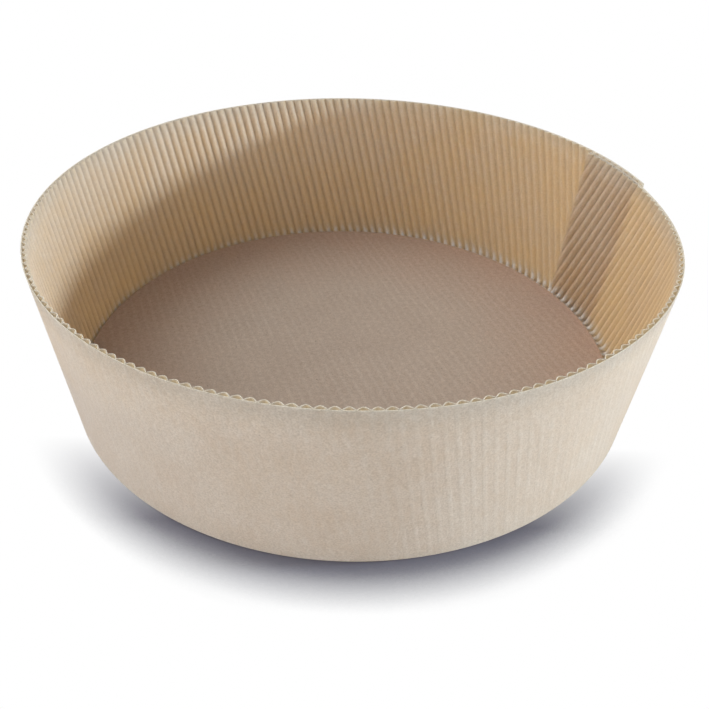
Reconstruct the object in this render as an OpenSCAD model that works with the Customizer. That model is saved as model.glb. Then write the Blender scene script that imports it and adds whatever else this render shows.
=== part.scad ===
// Round corrugated paper liner: a conical wall of single-face board, lapped and glued into a ring,
// with its lower edge turned in under a disc of the same board. All lengths are in millimetres.

/* [Cup] */
// Outside diameter across the cut rim
rim_d = 200; // [160:1:220]
// Height from the table to the cut rim
cup_h = 58; // [40:1:80]
// Lean of the wall out from the vertical, in degrees
wall_lean = 6.7; // [4:0.1:10]
// Outside radius of the fold round the foot
fold_r = 1; // [0.9:0.1:2]
// Width of the flange that is turned in under the base
flange_w = 9; // [6:0.5:14]

/* [Board] */
// Thickness of the smooth ply
liner_t = 0.25; // [0.15:0.05:0.4]
// Thickness of the fluted ply
medium_t = 0.2; // [0.15:0.05:0.3]
// Distance from one flute to the next
flute_pitch = 3.2; // [3:0.1:4.5]
// Height of a flute, with its own paper
flute_h = 1.3; // [1:0.1:1.8]
// Height to which the flutes are pressed in the flange, with their own paper
pressed_h = 0.25; // [0.25:0.05:0.5]
// Glue line between two plies
glue_t = 0.05; // [0.03:0.01:0.1]

/* [Lap seam] */
// Direction of the middle of the lap, in degrees from +X towards +Y
seam_at = 22; // [0:1:359]
// Turn that the lap covers, in degrees
lap_angle = 17; // [10:1:24]
// Turn over which the inner end of the wall eases in behind the outer end, in degrees
ease_angle = 40; // [20:5:90]
// Glue and play between the two thicknesses of board in the lap
lap_glue_t = 0.2; // [0.2:0.05:0.5]

/* [Base disc] */
// Direction in which the flutes under the disc run, in degrees from +X towards +Y
base_flutes_at = 110; // [0:1:179]
// Clearance between the edge of the disc and the nearest flutes of the wall
base_gap = 0.3; // [0.2:0.1:1]
// How far the disc is glued off centre, away from the lap
base_off = 0.8; // [0:0.1:1.5]

/* [Hidden] */
$fn = 180;

// Colours of the plies: smooth side, fluted side, and the disc inside the cup
liner_colour = [0.84, 0.79, 0.71];
fluting_colour = [0.76, 0.66, 0.50];
disc_colour = [0.62, 0.54, 0.48];

// A thickness of the wall, measured along a radius instead of square to the wall
function across(t) = t / cos(wall_lean);
function mix(a, b, f) = a + (b - a) * f;
function clamp01(f) = min(1, max(0, f));

rim_r = rim_d / 2;
foot_r = rim_r - cup_h * tan(wall_lean);
flange_r = foot_r - flange_w;

// One thickness of board in the wall, and the step in from the outer end of the lap to the inner
board_t = liner_t + glue_t + flute_h;
lap_inset = across(board_t + lap_glue_t);

// One pressed thickness in the flange, how much the inner end is raised over the outer one,
// and the height at which the disc lies on both
flange_t = liner_t + glue_t + pressed_h;
lap_rise = flange_t + 2 * glue_t;
base_z = 2 * lap_rise;

// The wall is cut flat as a sector of a ring, and the flutes run straight across that sector.
// A turn is counted from the middle of the blank, opposite the seam, and its ends overlap.
blank_middle = seam_at + 180;
end_turn = 180 + lap_angle / 2;
lap_turn = end_turn - lap_angle;

// Share of the step in behind the outer end that the board has taken at a turn
function step_at(turn) = (1 - cos(180 * clamp01((turn - lap_turn + ease_angle) / ease_angle))) / 2;

// Point of the cup at a turn of the blank, from its radius and height
function around(turn, p) = [p.x * cos(blank_middle + turn), p.x * sin(blank_middle + turn), p.y];

// Middle of the fold, where the board has taken the share k of the step
function fold_middle(k) =
    let (z = fold_r + k * lap_rise)
    [foot_r + z * tan(wall_lean) - across(fold_r) - k * lap_inset, z];

// Part of a circle round the middle of the fold, from one angle to another
fold_steps = 3;
function fold_arc(k, r, from, to) = [
    for (i = [0 : fold_steps])
        fold_middle(k) + r * [cos(mix(from, to, i / fold_steps)), sin(mix(from, to, i / fold_steps))]
];

// Section of the smooth ply: flange, fold and wall outside, then back down inside
function liner_section(k) = concat(
    [[flange_r, k * lap_rise]],
    fold_arc(k, fold_r, -90, -wall_lean),
    [[rim_r - k * lap_inset, cup_h]],
    [[rim_r - k * lap_inset - across(liner_t), cup_h]],
    fold_arc(k, fold_r - liner_t, -wall_lean, -90),
    [[flange_r, k * lap_rise + liner_t]]
);

// Solid through a row of closed sections, one at each turn
module loft(turns, sections) {
    m = len(sections[0]);
    last = (len(turns) - 1) * m;
    points = [for (i = [0 : len(turns) - 1]) for (p = sections[i]) around(turns[i], p)];
    sides = [
        for (i = [0 : len(turns) - 2], j = [0 : m - 1])
            let (a = i * m + j, b = i * m + (j + 1) % m)
            each [[a, b, b + m], [a, b + m, a + m]]
    ];
    ends = [[for (j = [m - 1 : -1 : 0]) j], [for (j = [0 : m - 1]) last + j]];
    polyhedron(points, concat(sides, ends), convexity = 6);
}

// Smooth outer ply of the wall, with the flange under the base and the lap at the seam, in slices
// short enough for their chords to stay off the fluted ply
slice_turn = 3.5;
module wall_liner() {
    slices = ceil(2 * end_turn / slice_turn);
    turns = [for (i = [0 : slices]) mix(-end_turn, end_turn, i / slices)];
    color(liner_colour)
        loft(turns, [for (turn = turns) liner_section(step_at(turn))]);
}

// One flute: share of the pitch, share of the height, and the side to which paper thickness
// moves the corner, -1 on the way up, 1 on the way down and 0 where it is glued to the smooth ply
flute = [[0, 0, 0], [0.32, 1, -1], [0.68, 1, 1]];
flank_slope = atan((flute_h - medium_t) / (flute[1].x * flute_pitch));
corner_shift = medium_t / 2 * tan(flank_slope / 2);

// Flat blank: distance from the tip of the cone to the rim, the fold and the flange's edge
flat_turn = sin(wall_lean);
rim_rho = rim_r / flat_turn;
fold_rho = rim_rho - cup_h / cos(wall_lean);
levels = [rim_rho, (rim_rho + fold_rho) / 2, fold_rho, fold_rho - flange_w];

// The lines that the flutes' corners follow across the blank, each as [x, height share, side]. A
// valley meets the outer cut end at the fold, and the last lines stop short of the pointed corners.
half_width = rim_rho * sin(flat_turn * end_turn);
first_valley = -fold_rho * sin(flat_turn * end_turn);
flutes_before = ceil((half_width + first_valley) / flute_pitch);
flutes_after = ceil((half_width - first_valley) / flute_pitch);
corner_margin = flute_pitch / 8;
lines = [
    [-half_width, 0, 0],
    for (n = [-flutes_before : flutes_after], f = flute)
        let (x = first_valley + (n + f.x) * flute_pitch)
        if (abs(x) < half_width - corner_margin) [x, f.y, f.z],
    [half_width, 0, 0]
];

// A line that wraps round the cone by more than this many degrees is bent once on its way up
bend_from = 6;
function turn_at(x, rho) = asin(x / rho) / flat_turn;
function is_bent(x) = abs(turn_at(x, fold_rho) - turn_at(x, rim_rho)) > bend_from;

// Where a line meets the cut end of the blank, or else the flange's edge
function lowest_rho(x) = max(levels[3], abs(x) / sin(flat_turn * end_turn));

// The level that stands for level i of a line: lines cut short share their last one, and a stretch
// shorter than this joins the one above it
shortest_stretch = flute_pitch / 50;
function held(x, i) =
    i == 1 && !is_bent(x) && lowest_rho(x) < fold_rho ? 0 :
    i > 0 && levels[max(0, i - 1)] < lowest_rho(x) + shortest_stretch ? held(x, i - 1) : i;

// Radius and height of a corner at the rim, at the fold and at the flange's edge. w is its share
// of the flute's height, face is 0 towards the smooth ply and 1 towards the cup's inside.
function corner_at_rim(w, face, k) =
    [rim_r - across(liner_t + glue_t + w * (flute_h - medium_t) + face * medium_t) - k * lap_inset, cup_h];

half_fold = -(90 + wall_lean) / 2;
function valley_at_fold(face, k) =
    fold_middle(k) + (fold_r - liner_t - glue_t - face * medium_t) * [cos(half_fold), sin(half_fold)];

function crest_at_fold(face, k) =
    let (z = flange_t - (1 - face) * medium_t + k * lap_rise)
    [foot_r + z * tan(wall_lean) - across(board_t - (1 - face) * medium_t) - k * lap_inset, z];

function corner_at_edge(w, face, k) =
    [flange_r, liner_t + glue_t + w * (pressed_h - medium_t) + face * medium_t + k * lap_rise];

function corner(rho, w, face, k) =
    let (at_fold = w > 0 ? crest_at_fold(face, k) : valley_at_fold(face, k))
    rho > fold_rho
        ? mix(at_fold, corner_at_rim(w, face, k), (rho - fold_rho) / (rim_rho - fold_rho))
        : mix(at_fold, corner_at_edge(w, face, k), (fold_rho - rho) / flange_w);

function flute_point(line, i, face) =
    let (
        rho = max(levels[i], lowest_rho(line.x)),
        turn = turn_at(line.x + (2 * face - 1) * line.z * corner_shift, rho)
    )
    around(turn, corner(rho, line.y, face, step_at(turn)));

// Faces of one quad, without the halves that have shrunk to a line
function half(a, b, c) = a == b || b == c || c == a ? [] : [[a, b, c]];
function quad(a, b, c, d) = concat(half(a, b, c), half(a, c, d));

// Fluted inner ply of the wall: straight flutes of the flat blank, wrapped round the cone, so that
// they lean to both sides of the seam, and pressed down where they pass under the base
module wall_fluting() {
    count = len(lines);
    points = [for (face = [0, 1], line = lines, i = [0 : 3]) flute_point(line, i, face)];
    index = [for (face = [0, 1], j = [0 : count - 1]) [
        for (i = [0 : 3]) (face * count + j) * 4 + held(lines[j].x, i)
    ]];
    outer = [for (j = [0 : count - 1]) index[j]];
    inner = [for (j = [0 : count - 1]) index[count + j]];
    faces = [
        for (j = [0 : count - 2]) each concat(
            [for (i = [0 : 2]) each quad(inner[j][i], inner[j][i + 1], inner[j + 1][i + 1], inner[j + 1][i])],
            [for (i = [0 : 2]) each quad(outer[j][i], outer[j + 1][i], outer[j + 1][i + 1], outer[j][i + 1])],
            quad(inner[j][0], inner[j + 1][0], outer[j + 1][0], outer[j][0]),
            quad(inner[j][3], outer[j][3], outer[j + 1][3], inner[j + 1][3])
        )
    ];
    color(fluting_colour)
        polyhedron(points, faces, convexity = 20);
}

// The disc is pushed away from the lap until its edge is one clearance off the flutes there
base_shift = lap_inset / 2 + base_off;
base_r = foot_r + base_z * tan(wall_lean) - across(board_t) - base_gap - base_shift;
base_liner_z = base_z + flute_h + glue_t;

module at_base(z) {
    translate([base_shift * cos(blank_middle), base_shift * sin(blank_middle), z])
        children();
}

// Smooth ply of the disc, the floor of the cup
module base_liner() {
    color(disc_colour)
        at_base(base_liner_z)
            cylinder(h = liner_t, r = base_r);
}

// Section of the fluted ply under the disc, from -reach to reach, glued along its upper side
module flute_section(reach) {
    n = ceil(reach / flute_pitch);
    corners = [for (i = [-n : n], f = flute) [(i + f.x) * flute_pitch, f.y, f.z]];
    side = [for (face = [0, 1]) [
        for (c = corners)
            [c.x + (2 * face - 1) * c.z * corner_shift, (1 - c.y) * (flute_h - medium_t) + (1 - face) * medium_t]
    ]];
    polygon(concat(side[0], [for (j = [len(corners) - 1 : -1 : 0]) side[1][j]]));
}

// Fluted ply under the disc, cut to the same circle
module base_fluting() {
    color(fluting_colour)
        at_base(base_z)
            intersection() {
                cylinder(h = flute_h, r = base_r);
                rotate([90, 0, base_flutes_at - 90])
                    linear_extrude(height = 2 * base_r + flute_pitch, center = true)
                        flute_section(base_r + flute_pitch);
            }
}

wall_liner();
wall_fluting();
base_liner();
base_fluting();
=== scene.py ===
import math

import bmesh
import bpy
from mathutils import Matrix, Vector, noise


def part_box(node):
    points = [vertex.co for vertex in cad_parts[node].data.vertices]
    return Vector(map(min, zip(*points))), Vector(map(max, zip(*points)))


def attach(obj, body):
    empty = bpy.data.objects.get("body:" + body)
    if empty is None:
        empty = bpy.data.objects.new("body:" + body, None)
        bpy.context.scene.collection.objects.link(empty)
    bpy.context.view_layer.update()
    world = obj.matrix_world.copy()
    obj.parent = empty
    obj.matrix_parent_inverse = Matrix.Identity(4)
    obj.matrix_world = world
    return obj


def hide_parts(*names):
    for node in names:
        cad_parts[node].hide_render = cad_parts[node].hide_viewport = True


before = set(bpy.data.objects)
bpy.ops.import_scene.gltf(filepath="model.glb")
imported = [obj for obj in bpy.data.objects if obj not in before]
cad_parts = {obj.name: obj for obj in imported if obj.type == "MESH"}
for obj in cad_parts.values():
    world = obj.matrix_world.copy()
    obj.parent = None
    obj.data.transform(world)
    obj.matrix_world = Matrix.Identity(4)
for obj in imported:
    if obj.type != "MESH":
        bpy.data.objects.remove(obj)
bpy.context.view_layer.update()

MM = 0.001

# Driving sizes of the cup, in metres and radians. The cup's own size comes from the frame.
WALL_LEAN = math.radians(6.7)
FOLD_R = 1 * MM
FLANGE_W = 9 * MM
LINER_T = 0.25 * MM
MEDIUM_T = 0.2 * MM
GLUE_T = 0.05 * MM
LAP_GLUE_T = 0.2 * MM
FLUTE_PITCH = 3.2 * MM
FLUTE_H = 1.3 * MM
PRESSED_H = 0.25 * MM
SEAM_AT = math.radians(22)
LAP_ANGLE = math.radians(17)
EASE_ANGLE = math.radians(40)
BASE_FLUTES_AT = math.radians(110)

# Shape of the flutes, which the CAD draws with straight sides
FLUTE_POWER = 1.1
FLUTE_UNEVENNESS = 0.05
UNEVENNESS_LENGTH = 60 * MM
UNEVENNESS_STEP = 0.37
UNEVENNESS_SEED = 3
CREST_BEND_LEAST = 0.4 * MM
CREST_BEND_MOST = 2.6 * MM

# How finely the sheets are divided
LINER_COLUMNS = 380
LINER_WALL_ROWS = 5
LINER_FOLD_ROWS = 8
COLUMNS_IN_FLUTE = 10
FLUTED_WALL_ROWS = 8
FLUTED_FOLD_ROWS = 6
FLOOR_COLUMNS_IN_FLUTE = 4
FLOOR_ROWS = 90
FLOOR_FLUTE_ROWS = 40
WELD = 0.005 * MM

# Sizes that follow from them and from the frame
_, wall_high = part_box("wall_liner")
disc_low, disc_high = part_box("base_liner")
_, flutes_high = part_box("base_fluting")

CUP_H = wall_high.z
RIM_R = wall_high.y
FOOT_R = RIM_R - CUP_H * math.tan(WALL_LEAN)
BOARD_T = LINER_T + GLUE_T + FLUTE_H
LAP_INSET = (BOARD_T + LAP_GLUE_T) / math.cos(WALL_LEAN)
LAP_RISE = LINER_T + GLUE_T + PRESSED_H + 2 * GLUE_T
BLANK_MIDDLE = SEAM_AT + math.pi
END_TURN = math.pi + LAP_ANGLE / 2
LAP_TURN = END_TURN - LAP_ANGLE

DISC_R = (disc_high.x - disc_low.x) / 2
DISC_MIDDLE = (disc_low + disc_high) / 2

# The wall's blank is a sector of a flat ring. rho is the distance from the sector's tip.
FLAT_TURN = math.sin(WALL_LEAN)
RIM_RHO = RIM_R / FLAT_TURN
FOLD_RHO = RIM_RHO - CUP_H / math.cos(WALL_LEAN)
CUT_ANGLE = END_TURN * FLAT_TURN
HALF_BLANK = FOLD_RHO * math.sin(CUT_ANGLE)
FIRST_VALLEY = -HALF_BLANK

# Patterns of the paper
CLOUD_SIZE = 16 * MM
PATCH_SIZE = 45 * MM
GRAIN_SIZE = 1.5 * MM
FIBRE_SIZE = 0.5 * MM
BARK_SPACING = 4 * MM
CLOUD_SHARE = 0.25
FIBRE_RELIEF = 0.6
BUMP_DEPTH = 0.1 * MM
# Blender's wave texture has one wave in pi / 10 of its own units
WAVE_SCALE = math.pi / 10 / FLUTE_PITCH

# Tones that darken or pale the paper in places: its grain and crushed crests, and painted light and
# shade (a painted highlight on the ribs, painted shade in the valleys and at the floor's edge,
# painted light near the rim)
GRAIN_TONE = (0.55, 0.53, 0.50)
RIB_HIGHLIGHT_TONE = (0.97, 0.93, 0.86)
VALLEY_SHADE_TONE = (0.42, 0.38, 0.34)
CRUSHED_AND_RIM_LIGHT_TONE = (0.96, 0.94, 0.92)
EDGE_SHADE_TONE = (0.90, 0.78, 0.74)

# Pale and dark tone of each paper
KRAFT_PALE = (1.0, 0.93, 0.85)
KRAFT_DARK = (0.91, 0.81, 0.72)
FLUTED_PALE = (0.98, 0.89, 0.81)
FLUTED_DARK = (0.84, 0.71, 0.61)
FLOOR_PALE = (0.65, 0.54, 0.45)
FLOOR_DARK = (0.54, 0.43, 0.35)
CUT_PALE = (0.86, 0.80, 0.68)
CUT_DARK = (0.74, 0.66, 0.52)

# Light that comes through the paper
CREAM_GLOW = (0.95, 0.89, 0.78)
GOLDEN_GLOW = (0.95, 0.83, 0.59)
OUTSIDE_LIGHT_THROUGH = 0.48
FLUTED_LIGHT_THROUGH = 0.64

# How dark the painted shade in the valleys between the flutes is, lighter near the seam
VALLEY_SHADE_DEPTH = 0.36
VALLEY_SHADE_AT_SEAM = 0.16
VALLEY_SHADE_OPPOSITE = 0.42

# The table, its colour for light and for the camera, and the openness to the sky at which the
# soft shadow at the cup's foot is darkest and gone. CONTACT_TILT leans it towards the cup.
TABLE_R = 3
TABLE_GAP = 0.1 * MM
TABLE_WHITE = (0.9, 0.9, 0.92)
TABLE_SHADE = (0.2, 0.2, 0.25)
CONTACT_REACH = 24 * MM
CONTACT_TILT = (0, math.sin(math.radians(70)), math.cos(math.radians(70)))
CONTACT_DARKEST = 0.54
CONTACT_LIGHTEST = 0.875
# The shadow lies only in front of the cup: it is whole up to the first y, and gone from the second
SHADE_WHOLE_TO = -79 * MM
SHADE_GONE_FROM = -45 * MM

# The sky's light near the horizon and overhead, and the heights between which it changes
HORIZON_LIGHT = 1.3
ZENITH_LIGHT = 0.3
HORIZON_TOP = 0.2
ZENITH_FOOT = 0.55

# The lamps, all as far away
LAMP_AWAY = 1.2
LAMP_WHITE = (1, 1, 1)
LAMP_COOL = (0.82, 0.94, 1)

# The camera was fitted to the rim, the foot and the sides of the cup in the photo
CAMERA_LENS = 43.98
CAMERA_SENSOR = 36
CAMERA_CLIP = 0.01
CAMERA_DOWN = math.radians(35.85)
CAMERA_ROLL = math.radians(1.352)
CAMERA_ASIDE, CAMERA_ABOVE, CAMERA_AWAY = 1.1 * MM, 0.97 * MM, 306.48 * MM


def mix(a, b, share):
    return a + (b - a) * share


def clamp(value, low, high):
    return max(low, min(high, value))


def wander(x, y, seed):
    """A smooth random number from -1 to 1, the same on every run."""
    return noise.noise(Vector((x, y, seed)))


def step_at(turn):
    """Share of the step in behind the outer end of the lap that the board has taken at a turn."""
    share = clamp((turn - LAP_TURN + EASE_ANGLE) / EASE_ANGLE, 0, 1)
    return (1 - math.cos(math.pi * share)) / 2


def bent(inward, depth, height, radius, step):
    """Radius and height of a layer of the board that comes down the wall and turns into the flange.

    inward is the distance past the foot's corner, negative up the wall. depth and height are the
    layer's distance from the outside of the wall and from the underside of the flange."""
    corner_z = height + step * LAP_RISE
    inset = depth / math.cos(WALL_LEAN) + step * LAP_INSET
    corner = Vector((FOOT_R + corner_z * math.tan(WALL_LEAN) - inset, corner_z))
    rim = Vector((RIM_R - inset, CUP_H))
    up_the_wall = (rim - corner) / (RIM_RHO - FOLD_RHO)
    reach = radius * math.tan((math.pi / 2 - WALL_LEAN) / 2)
    if inward <= -reach:
        return corner - up_the_wall * inward
    if inward >= reach:
        return corner - Vector((inward, 0))
    middle = corner + Vector((-reach, radius))
    angle = mix(-WALL_LEAN, -math.pi / 2, (inward + reach) / (2 * reach))
    return middle + radius * Vector((math.cos(angle), math.sin(angle)))


def around(turn, place):
    """Point of the cup at a turn of the blank, from its radius and height."""
    angle = BLANK_MIDDLE + turn
    return Vector((place.x * math.cos(angle), place.x * math.sin(angle), place.y))


def rows_down(wall_rows, fold_rows, reach):
    """Distances past the foot's corner of a wall sheet's rows, from the rim to the flange's edge.

    The rows of the fold lie within reach of the corner."""
    rows = [mix(FOLD_RHO - RIM_RHO, -reach, i / wall_rows) for i in range(wall_rows)]
    rows += [mix(-reach, reach, i / fold_rows) for i in range(fold_rows)]
    return rows + [reach, FLANGE_W]


def sheet_of(columns, rows):
    """A flat grid of columns by rows steps, its vertices as {(column, row): vertex}."""
    mesh = bmesh.new()
    mesh.loops.layers.uv.new("flat board")
    bmesh.ops.create_grid(mesh, x_segments=columns, y_segments=rows, size=1, calc_uvs=False)
    places = {}
    for vertex in mesh.verts:
        column = round((vertex.co.x + 1) / 2 * columns)
        row = round((vertex.co.y + 1) / 2 * rows)
        places[column, row] = vertex
    return mesh, places


def lay_out(mesh, flat):
    """Writes each vertex's place on the flat board, in metres, as the mesh's UV map."""
    layer = mesh.loops.layers.uv.active
    for face in mesh.faces:
        for loop in face.loops:
            loop[layer].uv = flat[loop.vert]


def add_object(name, mesh):
    """Makes an object of a bmesh, and frees the bmesh."""
    data = bpy.data.meshes.new(name)
    mesh.to_mesh(data)
    mesh.free()
    made = bpy.data.objects.new(name, data)
    bpy.context.scene.collection.objects.link(made)
    return made


def finish_piece(mesh, name, materials, thickness, node):
    """Makes the mesh a sheet of paper of that thickness, which stands for a CAD node."""
    bmesh.ops.recalc_face_normals(mesh, faces=mesh.faces[:])
    for face in mesh.faces:
        face.smooth = True
    piece = add_object(name, mesh)
    for material in materials:
        piece.data.materials.append(material)
    paper = piece.modifiers.new("paper", "SOLIDIFY")
    paper.thickness = thickness
    paper.offset = 0
    paper.material_offset_rim = 1
    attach(piece, "root")
    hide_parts(node)


# Shader trees

class Value:
    """A socket of a shader tree. Arithmetic on it adds Math nodes."""

    def __init__(self, finish, socket):
        self.finish = finish
        self.socket = socket

    def __add__(self, other):
        return self.finish.maths("ADD", self, other)

    def __sub__(self, other):
        return self.finish.maths("SUBTRACT", self, other)

    def __rsub__(self, other):
        return self.finish.maths("SUBTRACT", other, self)

    def __mul__(self, other):
        return self.finish.maths("MULTIPLY", self, other)

    __radd__ = __add__
    __rmul__ = __mul__


class Finish:
    """The shader tree of a material or of the world, filled node by node."""

    def __init__(self, owner):
        owner.use_nodes = True
        self.tree = owner.node_tree
        self.tree.nodes.clear()

    def node(self, kind, settings=None, inputs=None, output=0):
        """Adds a node, sets it up and gives one of its outputs.

        inputs holds numbers, colours or Values."""
        made = self.tree.nodes.new("ShaderNode" + kind)
        for name, value in (settings or {}).items():
            setattr(made, name, value)
        for name, value in (inputs or {}).items():
            if isinstance(value, Value):
                self.tree.links.new(value.socket, made.inputs[name])
            else:
                made.inputs[name].default_value = value
        return Value(self, made.outputs[output]) if len(made.outputs) else None

    def maths(self, operation, a, b):
        return self.node("Math", {"operation": operation}, {0: a, 1: b})

    def part(self, vector, axis):
        """One part, X, Y or Z, of a vector."""
        return self.node("SeparateXYZ", {}, {"Vector": vector}, output=axis)

    def blend(self, share, a, b, how="MIX"):
        """A mix of two colours. Each is a Value or a triple."""
        a, b = [c if isinstance(c, Value) else (*c, 1) for c in (a, b)]
        settings = {"data_type": "RGBA", "blend_type": how}
        return self.node("Mix", settings, {0: share, 6: a, 7: b}, output=2)

    def between(self, value, low, high, to_low=0, to_high=1):
        """value's place between low and high, brought to the range from to_low to to_high."""
        return self.node("MapRange", {}, {0: value, 1: low, 2: high, 3: to_low, 4: to_high})


def dimmed(colour, share):
    return tuple(channel * share for channel in colour)


class Paper(Finish):
    """Kraft paper: cloudy formation, fine grain and a few flecks of bark, with room for more.

    pale and dark are its tones. The board map holds, in metres, how far a point lies across the
    flutes from a valley, and how far up from the fold or from the middle of the disc."""

    def __init__(self, name, pale, dark, grain=0.5):
        self.material = bpy.data.materials.new(name)
        super().__init__(self.material)
        self.place = self.node("TexCoord", output="Object")
        self.board = self.node("UVMap")
        self.clouds = self.speckle(CLOUD_SIZE, detail=3, spread=0.15)
        self.grain = self.speckle(GRAIN_SIZE, detail=2, spread=0.2)
        self.fibres = self.speckle(FIBRE_SIZE, detail=1, spread=0.25)
        self.patches = self.speckle(PATCH_SIZE, detail=1, spread=0.15)
        self.colour = self.blend(mix(self.grain, self.clouds, CLOUD_SHARE), dark, pale)
        self.colour = self.blend(self.fibres * grain, self.colour, GRAIN_TONE, "MULTIPLY")
        self.add_bark(dimmed(dark, 0.45))
        self.height = mix(self.grain, self.fibres, FIBRE_RELIEF)
        self.passing = 0

    def speckle(self, size, detail, spread):
        """A cloudy pattern from 0 to 1 whose clouds are about size metres across.

        The less the spread, the harder their edges."""
        settings = {"Vector": self.place, "Scale": 1 / size, "Detail": detail}
        cloudy = self.node("TexNoise", {}, settings, output="Fac")
        return self.between(cloudy, 0.5 - spread, 0.5 + spread)

    def flute_wave(self):
        """A wave from 0 over each valley of the flutes to 1 over each crest."""
        return self.node(
            "TexWave",
            {"wave_type": "BANDS", "bands_direction": "X", "wave_profile": "SIN"},
            {"Vector": self.board, "Scale": WAVE_SCALE, "Distortion": 0},
            output="Fac",
        )

    def add_bark(self, tone, strength=0.6):
        """Strews small dark flecks over the sheet, where its grain is pale."""
        settings = {"Vector": self.place, "Scale": 1 / BARK_SPACING}
        from_fleck = self.node("TexVoronoi", {"feature": "F1"}, settings)
        flecks = self.between(from_fleck, 0.06, 0.1, 1, 0) * self.between(self.grain, 0.5, 0.7)
        self.colour = self.blend(flecks * strength, self.colour, tone)

    def let_light_through(self, share, glow, unevenness=0.07):
        """Lets a share of the light on, tinted by glow, more of it where the paper is thin."""
        thick = self.grain + self.clouds
        self.passing = share * self.between(thick, 0.4, 1.6, 1 + unevenness, 1 - unevenness)
        self.glow = glow

    def show_ribs_with_highlight(self, depth, paleness=0.35, relief=2.2):
        """Shows the flutes behind the sheet as narrow soft ribs of bump relief with a painted
        highlight on them, clearer in some places.
        """
        ribs = self.between(self.flute_wave(), 0.05, 0.5, 1, 0)
        shown = ribs * mix(0.4, 1, self.patches) * mix(0.55, 1, self.grain)
        self.colour = self.blend(shown * (paleness * depth), self.colour, RIB_HIGHLIGHT_TONE)
        self.height = self.height + shown * (relief * depth)

    def away_from_seam(self):
        """1 on the side of the wall opposite the seam, and 0 near the seam."""
        from_middle = self.maths("ABSOLUTE", self.part(self.board, "X") - HALF_BLANK, 0)
        return self.between(from_middle, 0.45 * HALF_BLANK, 0.8 * HALF_BLANK, 1, 0)

    def shade_valleys(self, depth, density=0.3):
        """Paints shade into the valleys of the flutes, lets less light through there, and leaves
        the crests pale.
        """
        valleys = self.between(self.flute_wave(), 0.1, 0.75, 1, 0)
        self.colour = self.blend(valleys * depth, self.colour, VALLEY_SHADE_TONE, "MULTIPLY")
        self.passing = self.passing * (1 - valleys * (density * depth))

    def paint_light_near_rim(self, height, paleness=0.34, density=0.2):
        """Paints light onto a wall of that height: pales it towards its rim and lets less light
        through there, but not near the seam.
        """
        up = self.part(self.board, "Y")
        rim_light = self.between(up, 0.35 * height, height) * self.away_from_seam()
        self.colour = self.blend(rim_light * paleness, self.colour, CRUSHED_AND_RIM_LIGHT_TONE)
        self.passing = self.passing * (1 - rim_light * density)

    def crush_foot(self, paleness=0.9, density=0.7):
        """Pales the crests just above the fold, where the press has crushed them."""
        near_fold = self.between(self.part(self.board, "Y"), 2 * MM, 5 * MM, 1, 0)
        crests = self.between(self.flute_wave(), 0.3, 0.8)
        crushed = near_fold * crests * mix(0.4, 1, self.grain)
        self.colour = self.blend(crushed * paleness, self.colour, CRUSHED_AND_RIM_LIGHT_TONE)
        self.passing = self.passing * (1 - crushed * density)

    def paint_edge_shade(self, radius, raggedness=0.12):
        """Paints shade on a round sheet towards its edge, darker and warmer there."""
        out = self.node("VectorMath", {"operation": "LENGTH"}, {0: self.board}, output="Value")
        ragged = out + self.clouds * (raggedness * radius)
        edge = self.between(ragged, 0.55 * radius, 1.05 * radius)
        self.colour = self.blend(edge, self.colour, EDGE_SHADE_TONE, "MULTIPLY")

    def finished(self, sheen=0.1):
        bump = {"Strength": 0.6, "Distance": BUMP_DEPTH, "Height": self.height}
        surface = self.node(
            "BsdfPrincipled",
            {},
            {
                "Base Color": self.colour,
                "Roughness": self.between(self.grain, 0, 1, 0.72, 0.88),
                "Normal": self.node("Bump", {}, bump),
                "Specular IOR Level": 0.4,
                "Sheen Weight": sheen,
                "Sheen Roughness": 0.4,
            },
        )
        if self.passing:
            behind = self.node("BsdfTranslucent", {}, {"Color": (*self.glow, 1)})
            surface = self.node("MixShader", {}, {0: self.passing, 1: surface, 2: behind})
        self.node("OutputMaterial", {}, {"Surface": surface})
        return self.material


outside = Paper("kraft outside", KRAFT_PALE, KRAFT_DARK, grain=0.8)
outside.let_light_through(OUTSIDE_LIGHT_THROUGH, CREAM_GLOW)
outside.show_ribs_with_highlight(depth=0.6)
smooth_kraft = outside.finished(sheen=0.5)

flutes = Paper("kraft flutes", FLUTED_PALE, FLUTED_DARK, grain=0.7)
flutes.let_light_through(FLUTED_LIGHT_THROUGH, GOLDEN_GLOW)
flutes.shade_valleys(VALLEY_SHADE_DEPTH)
fluted_kraft = flutes.finished()

wall_flutes = Paper("kraft wall flutes", FLUTED_PALE, FLUTED_DARK, grain=0.7)
wall_flutes.let_light_through(FLUTED_LIGHT_THROUGH, GOLDEN_GLOW)
# The valleys' painted shade is lighter near the seam than opposite it
opposite = wall_flutes.away_from_seam()
wall_flutes.shade_valleys(mix(VALLEY_SHADE_AT_SEAM, VALLEY_SHADE_OPPOSITE, opposite))
# Painted light, paler towards the rim away from the seam
wall_flutes.paint_light_near_rim(CUP_H)
wall_flutes.crush_foot()
wall_kraft = wall_flutes.finished(sheen=0.3)

floor = Paper("kraft floor", FLOOR_PALE, FLOOR_DARK)
floor.show_ribs_with_highlight(depth=0.25)
# Painted shade at the floor's edge, by the wall
floor.paint_edge_shade(DISC_R)
floor_kraft = floor.finished()

cut_edge = Paper("cut edge", CUT_PALE, CUT_DARK).finished()


# Pieces

def flute_height(share):
    """Height share of a flute at a share of its pitch: a round crest between narrow valleys."""
    return abs(math.sin(math.pi * share)) ** FLUTE_POWER


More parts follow.
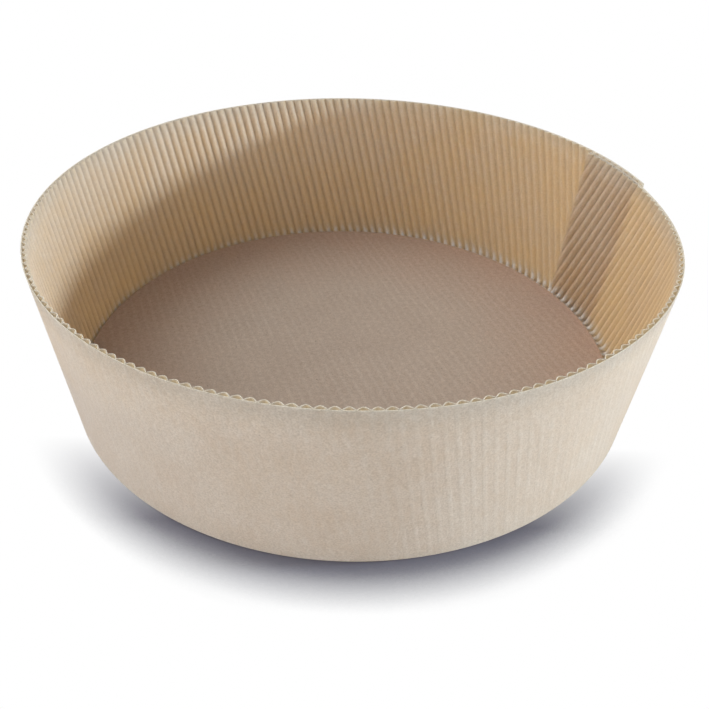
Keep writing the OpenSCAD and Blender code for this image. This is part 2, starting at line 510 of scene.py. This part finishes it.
def make_wall_liner():
    """Smooth outer ply: the wall, the fold at the foot and the flange under the disc."""
    rows = rows_down(LINER_WALL_ROWS, LINER_FOLD_ROWS, FOLD_R)
    mesh, vertices = sheet_of(LINER_COLUMNS, len(rows) - 1)
    flat = {}
    for (column, row), vertex in vertices.items():
        turn = mix(-END_TURN, END_TURN, column / LINER_COLUMNS)
        inward = rows[row]
        place = bent(inward, LINER_T / 2, LINER_T / 2, FOLD_R - LINER_T / 2, step_at(turn))
        vertex.co = around(turn, place)
        rho = FOLD_RHO - inward
        flat[vertex] = (rho * math.sin(turn * FLAT_TURN) - FIRST_VALLEY, -inward)
    lay_out(mesh, flat)
    materials = [smooth_kraft, cut_edge]
    finish_piece(mesh, "outer_ply", materials, LINER_T, "wall_liner")


def crest_bend(turn):
    """Radius of the bend in a flute's crest at the foot, which the edge of the disc limits."""
    angle = BLANK_MIDDLE + turn
    toward = Vector((math.cos(angle), math.sin(angle)))
    edge = DISC_R + Vector((DISC_MIDDLE.x, DISC_MIDDLE.y)).dot(toward)
    crest = FOOT_R - BOARD_T / math.cos(WALL_LEAN) - step_at(turn) * LAP_INSET
    return clamp(crest - edge, CREST_BEND_LEAST, CREST_BEND_MOST)


def make_wall_flutes():
    """Fluted inner ply: straight flutes of the flat blank, which lean more the nearer the seam."""
    half_width = RIM_RHO * math.sin(CUT_ANGLE)
    column_width = FLUTE_PITCH / COLUMNS_IN_FLUTE
    columns_before = math.ceil((half_width + FIRST_VALLEY) / column_width)
    columns = columns_before + math.ceil((half_width - FIRST_VALLEY) / column_width)
    rows = rows_down(FLUTED_WALL_ROWS, FLUTED_FOLD_ROWS, CREST_BEND_MOST)
    mesh, vertices = sheet_of(columns, len(rows) - 1)
    flat = {}
    middle_depth = LINER_T + GLUE_T + MEDIUM_T / 2
    crest_depth = middle_depth + (FLUTE_H - MEDIUM_T)
    pressed_depth = middle_depth + (PRESSED_H - MEDIUM_T)
    for (column, row), vertex in vertices.items():
        past_valley = (column - columns_before) * column_width
        x = clamp(FIRST_VALLEY + past_valley, -half_width, half_width)
        # The blank's ends are cut aslant. A point past a cut moves along its flute to the cut.
        cut_rho = abs(x) / math.sin(CUT_ANGLE)
        rho = max(FOLD_RHO - rows[row], cut_rho)
        inward = FOLD_RHO - rho
        turn = math.asin(x / rho) / FLAT_TURN
        step = step_at(turn)
        share = (x - FIRST_VALLEY) / FLUTE_PITCH
        flute = math.floor(share)
        uneven = wander(flute * UNEVENNESS_STEP, rho / UNEVENNESS_LENGTH, UNEVENNESS_SEED)
        high = flute_height(share - flute) * (1 + FLUTE_UNEVENNESS * uneven)
        valley = bent(inward, middle_depth, middle_depth, FOLD_R - middle_depth, step)
        crest = bent(inward, crest_depth, pressed_depth, crest_bend(turn), step)
        vertex.co = around(turn, valley.lerp(crest, high))
        flat[vertex] = (x - FIRST_VALLEY, -inward)
    lay_out(mesh, flat)
    bmesh.ops.remove_doubles(mesh, verts=mesh.verts[:], dist=WELD)
    materials = [wall_kraft, cut_edge]
    finish_piece(mesh, "fluted_ply", materials, MEDIUM_T, "wall_fluting")


def disc_place(along, across_flutes, z):
    """Point of the disc from its distances along and across its own flutes."""
    ahead = Vector((math.cos(BASE_FLUTES_AT), math.sin(BASE_FLUTES_AT), 0))
    aside = Vector((math.sin(BASE_FLUTES_AT), -math.cos(BASE_FLUTES_AT), 0))
    return Vector((DISC_MIDDLE.x, DISC_MIDDLE.y, z)) + ahead * along + aside * across_flutes


def round_sheet(columns_in_flute, rows, surface):
    """A round sheet in columns along its flutes. surface gives its middle height across them."""
    column_width = FLUTE_PITCH / columns_in_flute
    columns = 2 * math.ceil(DISC_R / column_width)
    mesh, vertices = sheet_of(columns, rows)
    flat = {}
    for (column, row), vertex in vertices.items():
        across_flutes = clamp((column - columns / 2) * column_width, -DISC_R, DISC_R)
        reach = math.sqrt(max(0, DISC_R ** 2 - across_flutes ** 2))
        along = reach * math.sin(mix(-math.pi / 2, math.pi / 2, row / rows))
        vertex.co = disc_place(along, across_flutes, surface(across_flutes))
        flat[vertex] = (across_flutes, along)
    lay_out(mesh, flat)
    bmesh.ops.remove_doubles(mesh, verts=mesh.verts[:], dist=WELD)
    return mesh


def make_floor():
    """Smooth top ply of the disc, the floor of the cup."""
    middle = (disc_low.z + disc_high.z) / 2
    mesh = round_sheet(FLOOR_COLUMNS_IN_FLUTE, FLOOR_ROWS, lambda across_flutes: middle)
    materials = [floor_kraft, cut_edge]
    finish_piece(mesh, "floor_ply", materials, LINER_T, "base_liner")


def make_floor_flutes():
    """Fluted ply under the floor."""
    top = flutes_high.z - MEDIUM_T / 2

    def surface(across_flutes):
        return top - (FLUTE_H - MEDIUM_T) * flute_height(across_flutes / FLUTE_PITCH)

    mesh = round_sheet(COLUMNS_IN_FLUTE, FLOOR_FLUTE_ROWS, surface)
    materials = [fluted_kraft, cut_edge]
    finish_piece(mesh, "floor_flutes", materials, MEDIUM_T, "base_fluting")


make_wall_liner()
make_wall_flutes()
make_floor()
make_floor_flutes()


# Surroundings

def make_table():
    """A wide pale floor that keeps the cup's shadow, and is white for the camera elsewhere.

    Ambient occlusion that leans towards the cup gives the soft shadow in front of it."""
    mesh = bmesh.new()
    lowered = Matrix.Translation((0, 0, -TABLE_GAP))
    bmesh.ops.create_circle(mesh, cap_ends=True, segments=96, radius=TABLE_R, matrix=lowered)
    table = add_object("table", mesh)
    material = bpy.data.materials.new("white table")
    finish = Finish(material)
    seen = finish.node("LightPath", output="Is Camera Ray")
    leaning = {"Distance": CONTACT_REACH, "Normal": CONTACT_TILT}
    open_sky = finish.node("AmbientOcclusion", {"samples": 16}, leaning, output="AO")
    along_view = finish.part(finish.node("TexCoord", output="Object"), "Y")
    in_front = finish.between(along_view, SHADE_WHOLE_TO, SHADE_GONE_FROM, 1, 0)
    shaded = in_front * (1 - finish.between(open_sky, CONTACT_DARKEST, CONTACT_LIGHTEST))
    colour = finish.blend(seen, TABLE_WHITE, TABLE_SHADE)
    lit = finish.node("BsdfDiffuse", {}, {"Color": colour})
    glow = finish.node("Emission", {}, {"Color": (1, 1, 1, 1), "Strength": 1})
    surface = finish.node("MixShader", {}, {0: seen * (1 - shaded), 1: lit, 2: glow})
    finish.node("OutputMaterial", {}, {"Surface": surface})
    table.data.materials.append(material)


def make_sky():
    """Soft white light, weaker from straight above, in front of a white backdrop."""
    world = bpy.data.worlds.new("studio")
    bpy.context.scene.world = world
    finish = Finish(world)
    height = finish.part(finish.node("TexCoord", output="Generated"), "Z")
    level = finish.between(height, HORIZON_TOP, ZENITH_FOOT, HORIZON_LIGHT, ZENITH_LIGHT)
    seen = finish.node("LightPath", output="Is Camera Ray")
    strength = level * (1 - seen) + seen
    glow = finish.node("Background", {}, {"Color": (1, 1, 1, 1), "Strength": strength})
    finish.node("OutputWorld", {}, {"Surface": glow})


def make_softbox(name, azimuth, height, tall, width, power, colour):
    """A soft rectangular lamp that looks at the cup's foot, from angles in degrees."""
    lamp = bpy.data.lights.new(name, "AREA")
    lamp.shape = "RECTANGLE"
    lamp.size = tall
    lamp.size_y = width
    lamp.energy = power
    lamp.color = colour
    holder = bpy.data.objects.new(name, lamp)
    bpy.context.scene.collection.objects.link(holder)
    aside = Matrix.Rotation(math.radians(azimuth), 4, "Z")
    down = Matrix.Rotation(math.radians(90 - height), 4, "Y")
    holder.matrix_world = aside @ down @ Matrix.Translation((0, 0, LAMP_AWAY))


def make_camera():
    camera = bpy.data.objects.new("camera", bpy.data.cameras.new("camera"))
    bpy.context.scene.collection.objects.link(camera)
    camera.data.lens = CAMERA_LENS
    camera.data.sensor_width = CAMERA_SENSOR
    camera.data.clip_start = CAMERA_CLIP
    down = Matrix.Rotation(math.pi / 2 - CAMERA_DOWN, 4, "X")
    roll = Matrix.Rotation(CAMERA_ROLL, 4, "Z")
    back = Matrix.Translation((CAMERA_ASIDE, CAMERA_ABOVE, CAMERA_AWAY))
    camera.matrix_world = down @ roll @ back
    bpy.context.scene.camera = camera


make_table()
make_sky()
make_softbox(
    "low lamp at the right", azimuth=0, height=10.9, tall=0.07, width=0.14, power=12,
    colour=LAMP_COOL,
)
make_softbox(
    "high lamp at the left", azimuth=148, height=46, tall=0.9, width=0.9, power=5.8,
    colour=LAMP_WHITE,
)
make_softbox(
    "fill at the front left", azimuth=205, height=36, tall=0.9, width=0.9, power=3.4,
    colour=LAMP_WHITE,
)
make_camera()
bpy.context.scene.view_settings.view_transform = "Standard"
